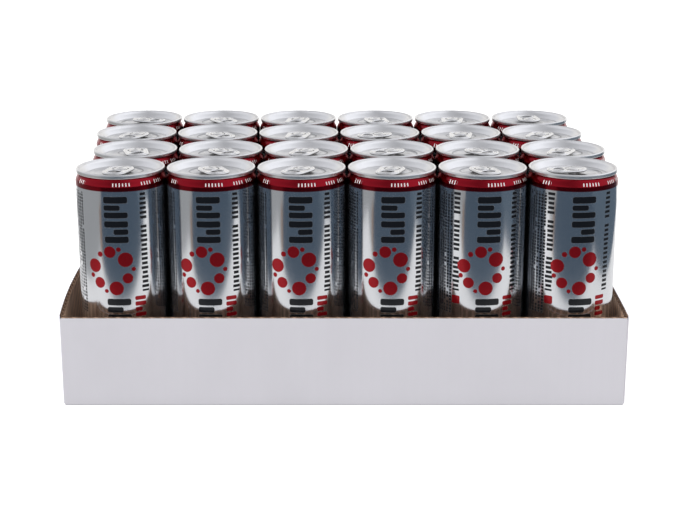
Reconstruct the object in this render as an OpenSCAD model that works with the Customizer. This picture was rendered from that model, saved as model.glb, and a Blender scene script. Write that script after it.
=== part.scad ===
/* [Can] */
// Diameter of a can body
can_d = 52.9; // [50:0.1:53]
// Height of a can, from the surface it stands on to the top of its rim
can_h = 134; // [120:0.5:150]
// Diameter of the circle that a can stands on
stand_d = 43; // [40:0.5:45]
// Height of the dome under a can
dome_h = 9; // [5:0.5:11]
// Height of the rounded foot below the straight wall
foot_h = 9; // [6:0.5:12]
// Diameter of the neck just below the seam
neck_d = 49.8; // [49:0.1:50.4]
// Height of the sloping neck below the seam
neck_h = 5; // [4:0.5:10]

/* [Can end] */
// Outer diameter of the seam
seam_d = 51.6; // [50.8:0.1:52.4]
// Height of the seam
seam_h = 2.5; // [2:0.1:3]
// Thickness of the rolled seam
seam_w = 1.35; // [1:0.05:1.5]
// Depth of the flat panel below the rim
panel_depth = 4.1; // [3.5:0.1:4.5]
// Depth of the groove round the panel below the rim
groove_depth = 6.3; // [5.5:0.1:6.5]
// Diameter of the flat panel
panel_d = 41.6; // [38:0.1:42]
// Width of the groove round the panel
groove_w = 1.1; // [0.8:0.1:1.4]
// Diameter of the rivet that holds the tab
rivet_d = 6.4; // [5:0.2:8]
// Length of the tab
tab_l = 24; // [21:0.5:26]
// Width of the tab
tab_w = 15.6; // [14:0.2:17]
// Thickness of the tab
tab_t = 1.4; // [1:0.1:1.6]
// Depth of the top of the tab below the rim
tab_depth = 1.2; // [1:0.1:1.5]
// Diameter of the scored opening in the panel
opening_d = 17; // [15:0.5:19]

/* [Pack] */
// Distance between can centres along a row, and from row to row
pitch = 53; // [53:0.1:54]
// Number of cans in a row
columns = 6; // [2:1:6]
// Number of rows
rows = 4; // [2:1:4]

/* [Tray] */
// Height of the tray walls
wall_h = 54.1; // [30:0.1:70]
// Thickness of the corrugated board
board = 3; // [2.5:0.1:3]
// Length of the flaps glued behind the front and back walls
flap_l = 62; // [40:1:80]
// Drop of the flaps below the top of the walls
flap_drop = 2; // [0:0.5:5]
// How far the left wall bows outwards
bow_left = 6; // [0:0.5:8]
// How far the right wall bows outwards
bow_right = 1.5; // [0:0.5:8]
// Radius of the folds along the corners and the bottom edges
fold_r = 1.6; // [1:0.1:2.5]
// Free space between the end of a centred row and a side wall
side_gap = 3.85; // [3.6:0.05:6]
// Free space between the front flaps and the front row
front_gap = 1.6; // [0:0.1:3]
// Free space between the back row and the back flaps
back_gap = 1; // [0:0.1:3]

/* [Hidden] */

// How far each row stands to the right of the middle of the tray, the front row first
row_shift = [1.6, 3.1, -3.2, -5.1];
// Which way the finger end of each tab points, turned from +X seen from above, a line for each row
tab_turn = [
    [-105, -62, -120, -108, -70, -165],
    [-75, -55, -112, -140, -50, -115],
    [-112, -58, -100, -150, -95, -118],
    [-30, -60, -100, -75, -95, 95]
];

can_r = can_d / 2;
seam_r = seam_d / 2;
neck_r = neck_d / 2;
stand_r = stand_d / 2;
// Width of the ring that a can stands on, and where the rounded foot starts beside it
stand_w = 1.2;
foot_start = [stand_r + 0.8, 0.6];
curve_steps = 6;
neck_top = can_h - seam_h;
neck_foot = neck_top - neck_h;

// The line where a can body and its end meet, from the middle out to the seam
metal_under_groove = 1;
joint_z = can_h - groove_depth - metal_under_groove;
joint_in_r = panel_d / 2 + groove_w + 0.6;
joint_out_r = neck_r - 0.7;

panel_z = can_h - panel_depth;
groove_z = can_h - groove_depth;
seam_in_r = seam_r - seam_w;
panel_edge = 0.3;
score_w = 0.5;
// Middle of the scored opening, which lies under the nose of the tab
opening_x = -9.5;

tab_z = can_h - tab_depth - tab_t;
tab_end_r = tab_w / 2;
// Distance from the rivet to the nose of the tab
tab_nose = 8.2;
// Hole for the finger: its width across the tab, its length along it and its middle
hole_w = 7;
hole_l = 4.6;
hole_x = tab_l - tab_nose - tab_end_r + 0.8;
// How far the rivet goes into the panel and stands above the tab
rivet_foot = 0.5;
rivet_head = 0.3;

fold_steps = 4;
bow_steps = 16;
corner_steps = 4;
tray_l = columns * pitch + 2 * side_gap + 2 * board;
tray_d = (rows - 1) * pitch + can_d + front_gap + back_gap + 4 * board;
tray_x = (bow_left - bow_right) / 2;
first_row_y = -tray_d / 2 + 2 * board + front_gap + can_r;

// Points on a smooth S between two heights of a turned shape, from radius r0 to r1
function ease(r0, z0, r1, z1) =
    [for (i = [0:curve_steps]) [
        r0 + (r1 - r0) * (1 - cos(180 * i / curve_steps)) / 2,
        z0 + (z1 - z0) * i / curve_steps
    ]];

// Points on the dome under a can, from its top to the stand ring
function dome() =
    let (w = stand_r - stand_w, r = (w * w + dome_h * dome_h) / (2 * dome_h), a = asin(w / r))
    [for (i = [0:curve_steps]) [
        r * sin(a * i / curve_steps),
        dome_h - r * (1 - cos(a * i / curve_steps))
    ]];

// Points on the foot, an arc from the stand ring out and up into the straight wall
function foot() =
    let (
        w = can_r - foot_start[0],
        h = foot_h - foot_start[1],
        r = (w * w + h * h) / (2 * w),
        a = asin(h / r)
    )
    [for (i = [0:curve_steps])
        let (b = a * (1 - i / curve_steps)) [can_r - r * (1 - cos(b)), foot_h - r * sin(b)]];

// The plan outline of the tray, set in by inset, with bowed side walls and rounded corners
function outline(inset) =
    let (
        half_l = tray_l / 2 - inset,
        half_d = tray_d / 2 - inset,
        r = max(fold_r - inset, 0.2),
        straight = half_d - r
    )
    concat(
        side(half_l, straight, bow_right),
        corner(half_l - r, straight, r, 0),
        corner(-half_l + r, straight, r, 90),
        [for (p = side(half_l, straight, bow_left)) [-p[0], -p[1]]],
        corner(-half_l + r, -straight, r, 180),
        corner(half_l - r, -straight, r, 270)
    );

// One bowed side wall, from front to back
function side(x, y, bow) =
    [for (i = [1:bow_steps - 1])
        let (t = 2 * i / bow_steps - 1) [x + bow * (1 - t * t), t * y]];

// One rounded corner about the point x, y, starting at the given angle
function corner(x, y, r, start) =
    [for (i = [0:corner_steps])
        let (a = start + 90 * i / corner_steps) [x + r * cos(a), y + r * sin(a)]];

// The half section of a can body below its end
module body_section() {
    polygon(concat(
        dome(),
        [[stand_r, 0]],
        foot(),
        ease(can_r, neck_foot, neck_r, neck_top),
        [[joint_out_r, neck_top], [joint_in_r, joint_z], [0, joint_z]]
    ));
}

// The half section of a can end: panel, groove, chuck wall and rolled seam
module end_section() {
    difference() {
        union() {
            polygon([
                [0, joint_z],
                [joint_in_r, joint_z],
                [joint_out_r, neck_top],
                [seam_in_r + seam_w / 2, neck_top],
                [seam_in_r + seam_w / 2, can_h - seam_w / 2],
                [seam_in_r, can_h - seam_w / 2],
                [panel_d / 2 + groove_w, groove_z + groove_w / 2],
                [panel_d / 2 + groove_w / 2, groove_z + groove_w / 2],
                [panel_d / 2, groove_z + groove_w / 2],
                [panel_d / 2 - panel_edge, panel_z],
                [0, panel_z]
            ]);
            for (z = [neck_top + seam_w / 2, can_h - seam_w / 2])
                translate([seam_r - seam_w / 2, z]) circle(d = seam_w);
            translate([seam_in_r + seam_w / 2, neck_top + seam_w / 2])
                square([seam_w / 2, seam_h - seam_w]);
        }
        translate([panel_d / 2 + groove_w / 2, groove_z + groove_w / 2])
            circle(d = groove_w);
    }
}

// The tab seen from above, its finger end towards +X and its rivet at the middle
module tab_plan() {
    nose_x = tab_end_r - tab_nose;
    finger_x = tab_l - tab_nose - tab_end_r;
    difference() {
        union() {
            translate([nose_x, 0]) circle(r = tab_end_r);
            translate([finger_x, 0]) circle(r = tab_end_r);
            translate([nose_x, -tab_end_r]) square([finger_x - nose_x, tab_w]);
        }
        for (y = [-1, 1])
            translate([hole_x, y * (hole_w - hole_l) / 2]) circle(d = hole_l);
        translate([hole_x - hole_l / 2, -(hole_w - hole_l) / 2])
            square([hole_l, hole_w - hole_l]);
    }
}

// A shut can body: stand ring, dome, straight wall and neck
module can_body() {
    rotate_extrude() body_section();
}

// A can end with its scored opening, rivet and tab
module can_end() {
    difference() {
        rotate_extrude() end_section();
        translate([opening_x, 0, panel_z - score_w])
            rotate_extrude() translate([opening_d / 2, 0]) square([score_w, 2 * score_w]);
    }
    translate([0, 0, panel_z - rivet_foot])
        cylinder(d = rivet_d, h = panel_depth - tab_depth + rivet_foot + rivet_head);
    translate([0, 0, tab_z])
        linear_extrude(tab_t) tab_plan();
}

// Puts its child where the can of this row and column stands
module place(row, col) {
    translate([
        tray_x + row_shift[row - 1] + (col - (columns + 1) / 2) * pitch,
        first_row_y + (row - 1) * pitch,
        board
    ])
        children();
}

module can(row, col) {
    color("silver") place(row, col) can_body();
}

module end(row, col) {
    color("gainsboro") place(row, col) rotate(tab_turn[row - 1][col - 1]) can_end();
}

// The outside of the tray, its bottom edges rounded by the folds
module tray_outside() {
    hull()
        for (i = [0:fold_steps])
            let (a = 90 * i / fold_steps)
            translate([0, 0, fold_r * (1 - cos(a))])
                linear_extrude(wall_h - fold_r)
                    polygon(outline(fold_r * (1 - sin(a))));
}

// One folded board tray: floor, four walls and the flaps glued behind the long walls
module tray() {
    color("gainsboro") translate([tray_x, 0, 0]) {
        difference() {
            tray_outside();
            translate([0, 0, board])
                linear_extrude(wall_h) polygon(outline(board));
        }
        intersection() {
            for (x = [-1, 1], y = [-1, 1])
                translate([
                    x * (tray_l - flap_l) / 2 - flap_l / 2,
                    y * (tray_d / 2 - 1.25 * board) - 0.75 * board,
                    board / 2
                ])
                    cube([flap_l, 1.5 * board, wall_h - flap_drop - board / 2]);
            translate([0, 0, board / 2])
                linear_extrude(wall_h) polygon(outline(board / 2));
        }
    }
}

tray();
for (row = [1:rows], col = [1:columns])
    can(row, col);
for (row = [1:rows], col = [1:columns])
    end(row, col);
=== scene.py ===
"""Builds the looks of a low board tray that holds rows of slim, shut drink cans."""

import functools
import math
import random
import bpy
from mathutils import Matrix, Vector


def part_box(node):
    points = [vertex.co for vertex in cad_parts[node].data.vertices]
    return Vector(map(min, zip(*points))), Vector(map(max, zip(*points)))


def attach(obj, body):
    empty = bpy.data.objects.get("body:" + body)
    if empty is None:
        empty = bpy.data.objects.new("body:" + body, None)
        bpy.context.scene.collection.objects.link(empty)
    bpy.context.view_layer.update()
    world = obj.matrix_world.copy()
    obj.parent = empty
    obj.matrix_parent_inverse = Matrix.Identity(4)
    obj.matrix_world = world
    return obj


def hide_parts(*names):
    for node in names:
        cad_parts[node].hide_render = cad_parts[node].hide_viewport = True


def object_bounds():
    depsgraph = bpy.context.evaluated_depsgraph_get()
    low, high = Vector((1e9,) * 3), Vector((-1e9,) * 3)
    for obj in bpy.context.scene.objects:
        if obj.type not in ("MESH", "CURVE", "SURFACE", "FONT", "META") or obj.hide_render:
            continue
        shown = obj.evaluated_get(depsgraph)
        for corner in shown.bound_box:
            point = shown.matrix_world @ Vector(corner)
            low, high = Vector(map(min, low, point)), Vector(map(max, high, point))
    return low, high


bl_info = {
    "name": "Tray of Drink Cans",
    "version": (1, 0, 0),
    "blender": (4, 5, 0),
    "location": "View3D > Sidebar > Drink Tray",
    "description": "Low corrugated tray filled with slim shut drink cans, with its studio stage",
    "category": "Add Mesh",
}

import bmesh
import bpy
import numpy as np
from bpy.props import FloatProperty, FloatVectorProperty, IntProperty, PointerProperty
from mathutils import Matrix, Vector

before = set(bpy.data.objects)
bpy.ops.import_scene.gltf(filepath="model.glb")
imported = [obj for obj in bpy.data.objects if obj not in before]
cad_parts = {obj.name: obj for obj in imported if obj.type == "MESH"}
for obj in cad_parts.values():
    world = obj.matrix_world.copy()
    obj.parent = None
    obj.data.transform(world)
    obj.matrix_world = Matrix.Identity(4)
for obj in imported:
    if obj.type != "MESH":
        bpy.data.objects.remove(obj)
CAD_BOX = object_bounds()

MM = 0.001
TAU = 2 * math.pi
PRINT_MAP = "PrintMap"
BOARD_MAP = "BoardMap"
LID_MAP = "LidMap"
SEED = 24
# Where the UV map of a turned shape starts, in turns from +X
MAP_START = -0.75


# ---------------------------------------------------------------- places read from the frame


def can_cells():
    """(row, column, middle of the underside) of every can in the frame, front row first."""
    cells = []
    for name in sorted(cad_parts):
        if name.startswith("can_"):
            row, column = (int(part) for part in name.split("_")[1:])
            low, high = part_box(name)
            cells.append((row, column, Vector(((low.x + high.x) / 2, (low.y + high.y) / 2, low.z))))
    return cells


CELLS = can_cells()
TRAY_LOW, TRAY_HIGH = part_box("tray")
CAN_LOW, CAN_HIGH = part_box("can_1_1")
END_LOW, END_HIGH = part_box("end_1_1")
CAN_TALL = (END_HIGH.z - CAN_LOW.z) / MM
CAN_WIDE = (CAN_HIGH.x - CAN_LOW.x) / MM
SEAM_WIDE = (END_HIGH.x - END_LOW.x) / MM


def finger_turns():
    """Angle from +X of the finger end of the tab on each can end of the frame, by row and column."""
    depth = bpy.context.scene.pack_tab.depth
    turns = {}
    for row, column, middle in CELLS:
        points = np.array([v.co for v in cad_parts[f"end_{row}_{column}"].data.vertices], float)
        level = points[:, 2].max() - depth
        top = points[np.abs(points[:, 2] - level) < 0.05 * MM]
        way = top[:, :2].mean(0) - np.array(middle[:2])
        turns[row, column] = math.atan2(way[1], way[0])
    return turns


# ---------------------------------------------------------------- sizes and colours


def length(name, description, default, low=0.0):
    """A length property in metres whose default is given in millimetres."""
    return FloatProperty(
        name=name,
        description=description,
        default=default * MM,
        min=low * MM,
        subtype="DISTANCE",
        unit="LENGTH",
        precision=5,
    )


def angle(name, description, default):
    """An angle property whose default is given in degrees."""
    return FloatProperty(
        name=name,
        description=description,
        default=math.radians(default),
        subtype="ANGLE",
        unit="ROTATION",
    )


def plain(name, description, default):
    """A plain number property."""
    return FloatProperty(name=name, description=description, default=default)


def colour(name, description, default):
    """A scene-linear colour property."""
    return FloatVectorProperty(
        name=name, description=description, default=default, size=3, min=0.0, max=1.0, subtype="COLOR"
    )


class CanSizes(bpy.types.PropertyGroup):
    """Sizes of one can body and how its print lies on it."""

    diameter: length("Diameter", "Width of the straight wall", CAN_WIDE)
    stand_diameter: length("Stand diameter", "Width of the ring that the can stands on", 43.0)
    dome_height: length("Dome height", "Height of the dome under the can", 9.0)
    foot_height: length("Foot height", "Height of the rounded foot", 9.0)
    neck_diameter: length("Neck diameter", "Width just below the seam", 49.8)
    neck_height: length("Neck height", "Height of the sloping neck", 5.0)
    print_turn: angle("Print turn", "Most that the print of a can behind the front row is turned", 12.0)
    segments: IntProperty(name="Segments", description="Faces round a can", default=96, min=24)


class EndSizes(bpy.types.PropertyGroup):
    """Sizes of the end that is rolled on to a can."""

    seam_diameter: length("Seam diameter", "Outer width of the rolled seam", SEAM_WIDE)
    seam_height: length("Seam height", "Height of the rolled seam", 2.5)
    seam_thickness: length("Seam thickness", "Thickness of the rolled seam", 1.35)
    panel_diameter: length("Panel diameter", "Width of the flat panel", 41.6)
    panel_depth: length("Panel depth", "Depth of the panel below the rim", 4.1)
    groove_depth: length("Groove depth", "Depth of the groove round the panel below the rim", 6.3)
    groove_width: length("Groove width", "Width of the groove round the panel", 1.1)
    rivet_diameter: length("Rivet diameter", "Width of the rivet's head", 6.4)
    rings: IntProperty(name="Rings", description="Rings of faces across the panel", default=44, min=8)


class TabSizes(bpy.types.PropertyGroup):
    """Sizes of the stay-on tab."""

    nose: length("Nose", "Distance from the rivet to the nose", 8.2)
    finger: length("Finger", "Distance from the rivet to the finger end", 15.8)
    width: length("Width", "Width at the nose", 15.6)
    finger_width: length("Finger width", "Width at the finger end", 14.4)
    thickness: length("Thickness", "Height of the curled edge", 1.4)
    depth: length("Depth", "Depth of the tab's top below the rim", 1.2)
    sheet: length("Sheet", "Thickness of the web between the curled edges", 0.35)


class TraySizes(bpy.types.PropertyGroup):
    """Sizes of the folded board tray."""

    board: length("Board", "Thickness of the corrugated board", 3.0)
    liner: length("Liner", "Thickness of each liner of the board", 0.45)
    medium: length("Medium", "Thickness of the wavy sheet between the liners", 0.3)
    flute_pitch: length("Flute pitch", "Length of one wave of the board", 6.4)
    fold_radius: length("Fold radius", "Outer radius of the folds", 1.6)
    flap: length("Flap", "Length of the corner flaps", 62.0)
    flap_drop: length("Flap drop", "Drop of the flaps below the top of the walls", 2.0)
    bow_left: length("Left bow", "How far the left wall bows outwards", 6.0)
    bow_right: length("Right bow", "How far the right wall bows outwards", 1.5)
    corner_strip: length("Corner strip", "Width of side wall seen past the front wall's ends", 1.7)
    washboard: length("Washboard", "Depth of the waves that show through the inner liner", 0.22)


class PackColours(bpy.types.PropertyGroup):
    """Colours of the print, the metal and the board."""

    silver: colour("Silver", "Bare bright metal of the can wall", (0.80, 0.81, 0.83))
    crimson: colour("Crimson", "Metallic band at the neck", (0.24, 0.003, 0.010))
    red: colour("Red", "Printed bubbles and bars", (0.34, 0.006, 0.012))
    black: colour("Black", "Printed bars and dashes", (0.008, 0.009, 0.012))
    grey: colour("Grey", "Fine printed dashes", (0.020, 0.021, 0.025))
    white: colour("White", "Marks on the band", (0.80, 0.80, 0.80))
    end_metal: colour("End metal", "Rolled metal of ends and tabs", (0.86, 0.845, 0.83))
    # End shade is painted shade for the hollows under and round the tab and under its lower edge, not a
    # colour of the metal
    end_shade: colour("End shade", "Dull metal in the hollows round the tab", (0.07, 0.065, 0.065))
    liner_white: colour("White liner", "Outside of the tray", (0.76, 0.745, 0.80))
    kraft: colour("Kraft", "Inside of the tray", (0.42, 0.275, 0.19))
    kraft_dark: colour("Dark kraft", "Cut edges and waves of the board", (0.17, 0.105, 0.07))


class StageSizes(bpy.types.PropertyGroup):
    """Where the camera, the table and the lights stand."""

    camera_aside: length("Camera aside", "Camera's place to the right of the middle", 2.8)
    camera_front: length("Camera in front", "Distance of the camera in front of the tray", 814.65)
    camera_height: length("Camera height", "Height of the camera above the floor", 321.4)
    camera_tilt: angle("Camera tilt", "How far the camera looks down", 15.82)
    lens: plain("Lens", "Focal length in millimetres", 77.23)
    sensor: plain("Sensor", "Sensor width in millimetres", 36.0)
    table_left: length("Table left", "Reflected table top's edge to the left", 400.0)
    table_right: length("Table right", "Reflected table top's edge to the right", 415.0)
    table_front: length("Table front", "Reflected table top's edge to the front", 299.0)
    table_back: length("Table back", "Reflected table top's edge to the back", 480.0)
    room_half: length("Room", "Distance of the reflected room's walls", 3000.0)
    room_drop: length("Room drop", "Depth of the reflected room's floor below the table", 750.0)
    wall_height: length("Wall height", "Height of the reflected room's walls above the table", 350.0)
    ceiling: length("Ceiling", "Height of the reflected ceiling above the table", 1700.0)
    strip_start: angle("Strip start", "Reflected tan strip's first edge, turned from the front", 46.5)
    strip_end: angle("Strip end", "Reflected tan strip's last edge, turned from the front", 52.5)
    world_light: plain("World light", "Strength of the white surroundings", 1.0)
    soft_light: plain("Soft light", "Share of the white surroundings that lights", 0.55)
    floor_glow: plain("Floor glow", "Light that the floor gives of itself", 0.6)
    key_power: plain("Key power", "Power of the key softbox in watts", 15.0)
    fill_power: plain("Fill power", "Power of the fill softbox in watts", 7.5)
    top_power: plain("Top power", "Power of the overhead softbox in watts", 5.0)


GROUPS = {
    "pack_can": CanSizes,
    "pack_end": EndSizes,
    "pack_tab": TabSizes,
    "pack_tray": TraySizes,
    "pack_colours": PackColours,
    "pack_stage": StageSizes,
}


def sizes(group, *names):
    """The named lengths of a property group of the scene, in millimetres."""
    return [size(group, name) for name in names]


def size(group, name):
    """One length of a property group of the scene, in millimetres."""
    return getattr(getattr(bpy.context.scene, group), name) / MM


# ---------------------------------------------------------------- meshes


def build_mesh(name, points, faces, uvs, uv_name, sharp):
    """A mesh from points in millimetres and faces, with a UV pair for each corner of each face."""
    mesh = bpy.data.meshes.new(name)
    mesh.from_pydata((np.asarray(points, float) * MM).tolist(), [], faces)
    layer = mesh.uv_layers.new(name=uv_name)
    layer.data.foreach_set("uv", np.asarray(uvs, np.float32).ravel())
    mesh.update()
    if mesh.validate():
        raise RuntimeError(f"{name} had faces that aren't valid")
    mesh.shade_smooth()
    mesh.set_sharp_from_angle(angle=math.radians(sharp))
    return mesh


def add_piece(name, mesh, materials, node):
    """Puts a mesh into the scene as a piece of the pack that stands for a node of the frame."""
    piece = bpy.data.objects.new(name, mesh)
    bpy.context.scene.collection.objects.link(piece)
    mesh.materials.clear()
    for material in materials:
        mesh.materials.append(material)
    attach(piece, "root")
    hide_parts(node)


def add_on_cans(name, node, material, mesh, turns):
    """Puts a copy of a mesh on every can, turned about its upright axis, and drops the mesh."""
    for row, column, middle in CELLS:
        copy = mesh.copy()
        copy.transform(Matrix.Translation(middle) @ Matrix.Rotation(turns[row, column], 4, "Z"))
        add_piece(f"{name}_{row}_{column}", copy, [material], f"{node}_{row}_{column}")
    bpy.data.meshes.remove(mesh)


def arc(centre, radius, start, stop, steps):
    """Points of an arc in a section, its angles in degrees from the outward direction."""
    angles = np.radians(np.linspace(start, stop, steps + 1))
    return [(centre[0] + radius * math.cos(a), centre[1] + radius * math.sin(a)) for a in angles]


def ease(start, stop, steps):
    """Points of a smooth S between two heights of a turned shape."""
    shares = np.linspace(0, 1, steps + 1)
    wide, tall = stop[0] - start[0], stop[1] - start[1]
    return [(start[0] + wide * (1 - math.cos(math.pi * t)) / 2, start[1] + tall * t) for t in shares]


def turned(section, segments, lift=None):
    """Points, faces and UVs of a section turned about Z, closed at both poles.

    The section's points are (radius, height), from pole to pole. lift(x, y, height) may move the points of
    the section up or down. The UV map's U runs once round from MAP_START, and V is the height.
    """
    section = np.asarray(section, float)
    ring = section[1:-1]
    turns = (np.arange(segments) / segments + MAP_START) * TAU
    x = ring[:, :1] * np.cos(turns)
    y = ring[:, :1] * np.sin(turns)
    z = np.repeat(ring[:, 1:], segments, 1)
    if lift is not None:
        z = z + lift(x, y, z)
    points = np.stack([x, y, z], 2).reshape(-1, 3).tolist()
    poles = [len(points), len(points) + 1]
    for end in (0, -1):
        tip = section[end]
        rise = 0.0 if lift is None else float(lift(np.zeros(1), np.zeros(1), np.array([tip[1]]))[0])
        points.append([0.0, 0.0, tip[1] + rise])
    faces = []
    uvs = []
    rows = len(ring)
    heights = ring[:, 1]
    for j in range(segments):
        k = (j + 1) % segments
        u0, u1 = j / segments, (j + 1) / segments
        faces.append((poles[0], k, j))
        uvs += [((u0 + u1) / 2, section[0, 1]), (u1, heights[0]), (u0, heights[0])]
        for i in range(rows - 1):
            a, b = i * segments, (i + 1) * segments
            faces.append((a + j, a + k, b + k, b + j))
            uvs += [(u0, heights[i]), (u1, heights[i]), (u1, heights[i + 1]), (u0, heights[i + 1])]
        last = (rows - 1) * segments
        faces.append((last + j, last + k, poles[1]))
        uvs += [(u0, heights[-1]), (u1, heights[-1]), ((u0 + u1) / 2, section[-1, 1])]
    return points, faces, uvs


def join_parts(parts):
    """One list of points and one of faces from several (points, faces) parts."""
    points, faces = [], []
    for part_points, part_faces in parts:
        shift = len(points)
        points += [tuple(p) for p in part_points]
        faces += [tuple(i + shift for i in face) for face in part_faces]
    return points, faces


def plan_uvs(points, faces):
    """A UV pair for each corner of each face: its place seen from above, in millimetres."""
    return [points[i][:2] for face in faces for i in face]


# ---------------------------------------------------------------- shader maths


class Maths:
    """A socket of a material's nodes that Python's operators work on."""

    def __init__(self, finish, socket):
        self.finish = finish
        self.socket = socket

    def maths(self, operation, *values, clamp=False):
        """A Math node on this value and up to two others."""
        return self.finish.make(
            "ShaderNodeMath", {"operation": operation, "use_clamp": clamp}, dict(enumerate((self, *values)))
        )

    def __add__(self, other):
        return self.maths("ADD", other)

    __radd__ = __add__

    def __sub__(self, other):
        return self.maths("SUBTRACT", other)

    def __rsub__(self, other):
        return (self * -1.0) + other

    def __mul__(self, other):
        return self.maths("MULTIPLY", other)

    __rmul__ = __mul__

    def __truediv__(self, other):
        return self.maths("DIVIDE", other)

    def __abs__(self):
        return self.maths("ABSOLUTE")

    def __gt__(self, other):
        return self.maths("GREATER_THAN", other)

    def __lt__(self, other):
        return self.maths("LESS_THAN", other)

    def larger(self, other):
        """The larger of this value and another."""
        return self.maths("MAXIMUM", other)

    def rise(self, low, high):
        """0 below low and 1 above high, with a straight ramp between them."""
        scale = 1.0 / (high - low)
        return self.maths("MULTIPLY_ADD", scale, -low * scale, clamp=True)

    def between(self, low, high, soft):
        """1 between low and high, with edges of width soft."""
        half = (high - low) / 2
        off_middle = abs(self - (low + high) / 2)
        return off_middle.rise(half + soft / 2, half - soft / 2)


class Finish:
    """A material being put together from nodes."""

    def __init__(self, name, inputs, kind="ShaderNodeBsdfPrincipled"):
        self.material = bpy.data.materials.new(name)
        self.material.use_nodes = True
        self.tree = self.material.node_tree
        self.tree.nodes.clear()
        shader = self.make(kind, {}, inputs)
        self.shader = shader.socket.node
        self.make("ShaderNodeOutputMaterial", {}, {"Surface": shader}, None)

    def make(self, kind, settings, inputs, output=0):
        """A node of a kind, its settings and then its inputs set, as the Maths of one of its outputs."""
        node = self.tree.nodes.new(kind)
        for name, value in settings.items():
            if name == "stops":
                ramp = node.color_ramp
                while len(ramp.elements) < len(value):
                    ramp.elements.new(1.0)
                for element, (place, tint) in zip(ramp.elements, value):
                    element.position = place
                    element.color = tint
            else:
                setattr(node, name, value)
        for name, value in inputs.items():
            self.feed(node.inputs[name], value)
        return None if output is None else Maths(self, node.outputs[output])

    def feed(self, socket, value):
        """Links a Maths to a socket, or sets the socket to a plain value."""
        if isinstance(value, Maths):
            self.tree.links.new(value.socket, socket)
        elif hasattr(socket.default_value, "__len__"):
            socket.default_value = [*value, 1.0][: len(socket.default_value)]
        else:
            socket.default_value = value

    def surface(self, **inputs):
        """Links what changes over the surface to the shader."""
        for name, value in inputs.items():
            self.feed(self.shader.inputs[name.replace("_", " ").title()], value)

    def uv(self, name):
        """The two numbers of a UV map."""
        place = self.make("ShaderNodeUVMap", {"uv_map": name}, {})
        split = self.make("ShaderNodeSeparateXYZ", {}, {0: place})
        return split, Maths(self, split.socket.node.outputs[1])

    def where(self, axis):
        """One of the object coordinates, in metres."""
        place = self.make("ShaderNodeTexCoord", {}, {}, "Object")
        return self.make("ShaderNodeSeparateXYZ", {}, {0: place}, axis)

    def place(self, scale=(1.0, 1.0, 1.0)):
        """Object coordinates, stretched by scale."""
        where = self.make("ShaderNodeTexCoord", {}, {}, "Object")
        return self.make("ShaderNodeMapping", {}, {"Vector": where, "Scale": scale})

    def distance(self, spot, middle):
        """How far a place is from a point."""
        return self.make("ShaderNodeVectorMath", {"operation": "DISTANCE"}, {0: spot, 1: middle}, "Value")

    def noise(self, vector, scale, detail=2.0, rough=0.5):
        """A smooth noise from 0 to 1."""
        inputs = {"Vector": vector, "Scale": scale, "Detail": detail, "Roughness": rough}
        return self.make("ShaderNodeTexNoise", {}, inputs, "Fac")

    def chance(self, cell):
        """A random number from 0 to 1 for each whole number."""
        return self.make("ShaderNodeTexWhiteNoise", {"noise_dimensions": "1D"}, {"W": cell}, "Value")

    def blend(self, share, first, second, mode="MIX"):
        """A mix of two colours."""
        node = self.tree.nodes.new("ShaderNodeMix")
        node.data_type = "RGBA"
        node.blend_type = mode
        self.feed(node.inputs[0], share)
        self.feed(node.inputs[6], first)
        self.feed(node.inputs[7], second)
        return Maths(self, node.outputs[2])

    def bump(self, height, distance, strength):
        """A normal from a height from 0 to 1, distance in millimetres."""
        inputs = {"Height": height, "Distance": distance * MM, "Strength": strength}
        return self.make("ShaderNodeBump", {}, inputs, "Normal")


def scaled(tint, factor):
    """A colour made lighter or darker."""
    return [min(1.0, channel * factor) for channel in tint]


# Widths of the soft edges of printed shapes and of bars
SOFT, BAR_SOFT = 0.16, 0.14


def largest(values):
    """The largest of several shader values."""
    return functools.reduce(Maths.larger, values)


def dash_row(finish, along, across, low, high, pitch, fill, keep, seed):
    """A row of short dashes along a line, some left out, reaching from low towards high across it."""
    step = along / pitch
    cell = step.maths("FLOOR")
    luck = finish.chance(cell + seed)
    reach = finish.chance(cell + (seed + 31.7))
    half = reach * (0.14 * (high - low)) + 0.36 * (high - low)
    wide = (half - abs(across - (low + high) / 2)).rise(-SOFT / 2, SOFT / 2)
    dashes = step.maths("FRACT").between((1 - fill) / 2, (1 + fill) / 2, SOFT / pitch)
    return dashes * (luck < keep) * wide


def rounded_bar(u, v, box, radius):
    """A bar with round corners, its box given as (left, right, bottom, top)."""
    left, right, bottom, top = box
    out_u = (abs(u - (left + right) / 2) - ((right - left) / 2 - radius)).larger(0.0)
    out_v = (abs(v - (bottom + top) / 2) - ((top - bottom) / 2 - radius)).larger(0.0)
    far = (out_u * out_u + out_v * out_v).maths("SQRT")
    return far.rise(radius + BAR_SOFT / 2, radius - BAR_SOFT / 2)


# Round bubbles of the red ring: (to the right, up, radius) from its middle
BUBBLES = [
    (-0.6, 11.2, 3.5),
    (8.4, 6.6, 4.4),
    (9.4, -4.6, 3.1),
    (2.6, -10.6, 4.2),
    (-7.6, -7.6, 3.3),
    (-10.6, 2.4, 4.1),
    (-6.6, 9.6, 1.6),
    (4.6, 12.8, 1.4),
    (13.0, 0.8, 1.3),
    (-3.4, -12.4, 1.2),
    (-12.4, -3.6, 1.4),
]
BUBBLE_MIDDLE = (-3.8, 77.6)
# Columns of fine dashes: how many, the left edge of the first, the step between them and their width
FINE_COLUMNS, FINE_LEFT, FINE_STEP, FINE_WIDE = 6, -35.8, 2.3, 1.9
# Heights between which the fine columns and the rows of black dashes run
FINE_RUN, DASH_RUN = (50.0, 122.5), (64.3, 123.6)
# Rows of black dashes, the first on every face and the second on the back: (left, right, seed)
DASH_ROWS = [(13.9, 18.4, 5.0), (-22.0, -17.0, 77.0)]
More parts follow.
